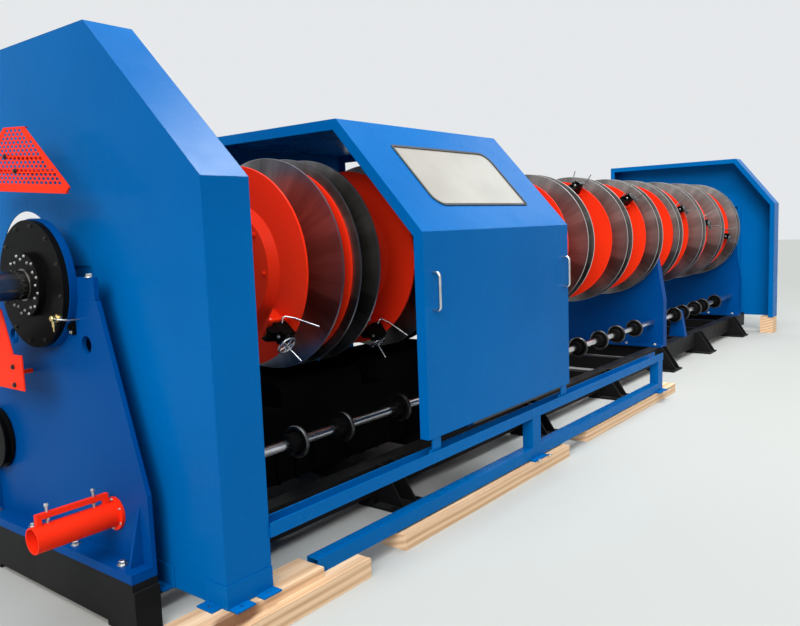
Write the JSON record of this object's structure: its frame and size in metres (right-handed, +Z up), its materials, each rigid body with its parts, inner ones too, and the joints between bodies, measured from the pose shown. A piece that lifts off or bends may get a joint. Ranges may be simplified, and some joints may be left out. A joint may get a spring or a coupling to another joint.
{
  "type": "concentric stranding machine",
  "caption": "Long stranding line: two rotors of red plates and steel pans on blue stands over a black base, with end covers, a sliding hood and a line shaft with pulleys.",
  "frame": {"origin": "centre of the bounding box in plan, on the floor under the machine", "axes": "+X along the machine towards the far end cover, +Y away from the aisle, +Z up"},
  "size_m": [9.266, 2.239, 2.34],
  "materials": {
    "blue_sheet": "semi-gloss",
    "blue_castings": "semi-gloss",
    "red_paint": "gloss",
    "black_frame": "satin",
    "black_machinery": "semi-gloss",
    "stainless": "turned",
    "bright_steel": "polished",
    "black_rubber": "matt",
    "window_pane": "clear",
    "timber": "sawn"
  },
  "bodies": {
    "frame": {"base_beams": "black_frame", "base_cross_members": "black_frame", "base_end_beam": "black_frame", "base_feet": "black_frame", "belt_guard_lower": "red_paint", "belt_guard_upper": "red_paint", "drive_gearbox": "black_machinery", "drive_stub": "bright_steel", "far_bearing": "black_machinery", "far_cover_end": "blue_sheet", "far_cover_front": "blue_sheet", "far_cover_rear": "blue_sheet", "far_cover_slope": "blue_sheet", "far_cover_top": "blue_sheet", "far_stand": "blue_castings", "far_wood_blocks": "timber", "lead_tube": "red_paint", "left_bearing_cover": "black_machinery", "left_bearing_housing": "blue_castings", "left_cover_end": "blue_sheet", "left_cover_front": "blue_sheet", "left_cover_rear": "blue_sheet", "left_cover_skirt": "blue_sheet", "left_cover_slope": "blue_sheet", "left_cover_top": "blue_sheet", "left_pedestal": "blue_castings", "line_shaft_bearings": "blue_castings", "mid_bearing": "black_machinery", "mid_stand": "blue_castings", "rail_channels": "blue_sheet", "rail_posts": "blue_sheet", "rail_tubes": "blue_sheet", "timber_layer_1": "timber", "timber_layer_2": "timber", "timber_layer_3": "timber"},
    "hood": {"hood_feet": "blue_sheet", "hood_front": "blue_sheet", "hood_gasket": "black_rubber", "hood_handles": "bright_steel", "hood_rear": "blue_sheet", "hood_slope": "blue_sheet", "hood_top": "blue_sheet", "hood_window": "window_pane"},
    "rotor_1": {"rotor_1_guide_arms": "red_paint", "rotor_1_guide_clamps": "black_machinery", "rotor_1_guide_wheels": "bright_steel", "rotor_1_pans": "stainless", "rotor_1_red_plates": "red_paint", "rotor_1_shaft": "black_machinery"},
    "rotor_2": {"rotor_2_guide_arms": "red_paint", "rotor_2_guide_clamps": "black_machinery", "rotor_2_guide_wheels": "bright_steel", "rotor_2_pans": "stainless", "rotor_2_red_plates": "red_paint", "rotor_2_shaft": "black_machinery"},
    "line_shaft": {"line_shaft": "bright_steel", "line_shaft_pulleys": "black_machinery"},
    "drive_pulley": {"drive_pulley": "black_machinery"}
  },
  "joints": [
    {"name": "hood_slide", "type": "slide", "parent": "frame", "child": "hood", "axis": [1, 0, 0], "range_m": [-1, 1.65]},
    {"name": "rotor_1_spin", "type": "hinge", "parent": "frame", "child": "rotor_1", "pos_m": [-1.633, -0.0735, 1.32], "axis": [1, 0, 0], "continuous": true},
    {"name": "rotor_2_spin", "type": "hinge", "parent": "frame", "child": "rotor_2", "pos_m": [2.867, -0.0735, 1.32], "axis": [1, 0, 0], "continuous": true},
    {"name": "line_shaft_spin", "type": "hinge", "parent": "frame", "child": "line_shaft", "pos_m": [0.067, -0.5065, 0.465], "axis": [1, 0, 0], "continuous": true},
    {"name": "drive_pulley_spin", "type": "hinge", "parent": "frame", "child": "drive_pulley", "pos_m": [-4.327, 0.4515, 0.592], "axis": [1, 0, 0], "continuous": true}
  ]
}
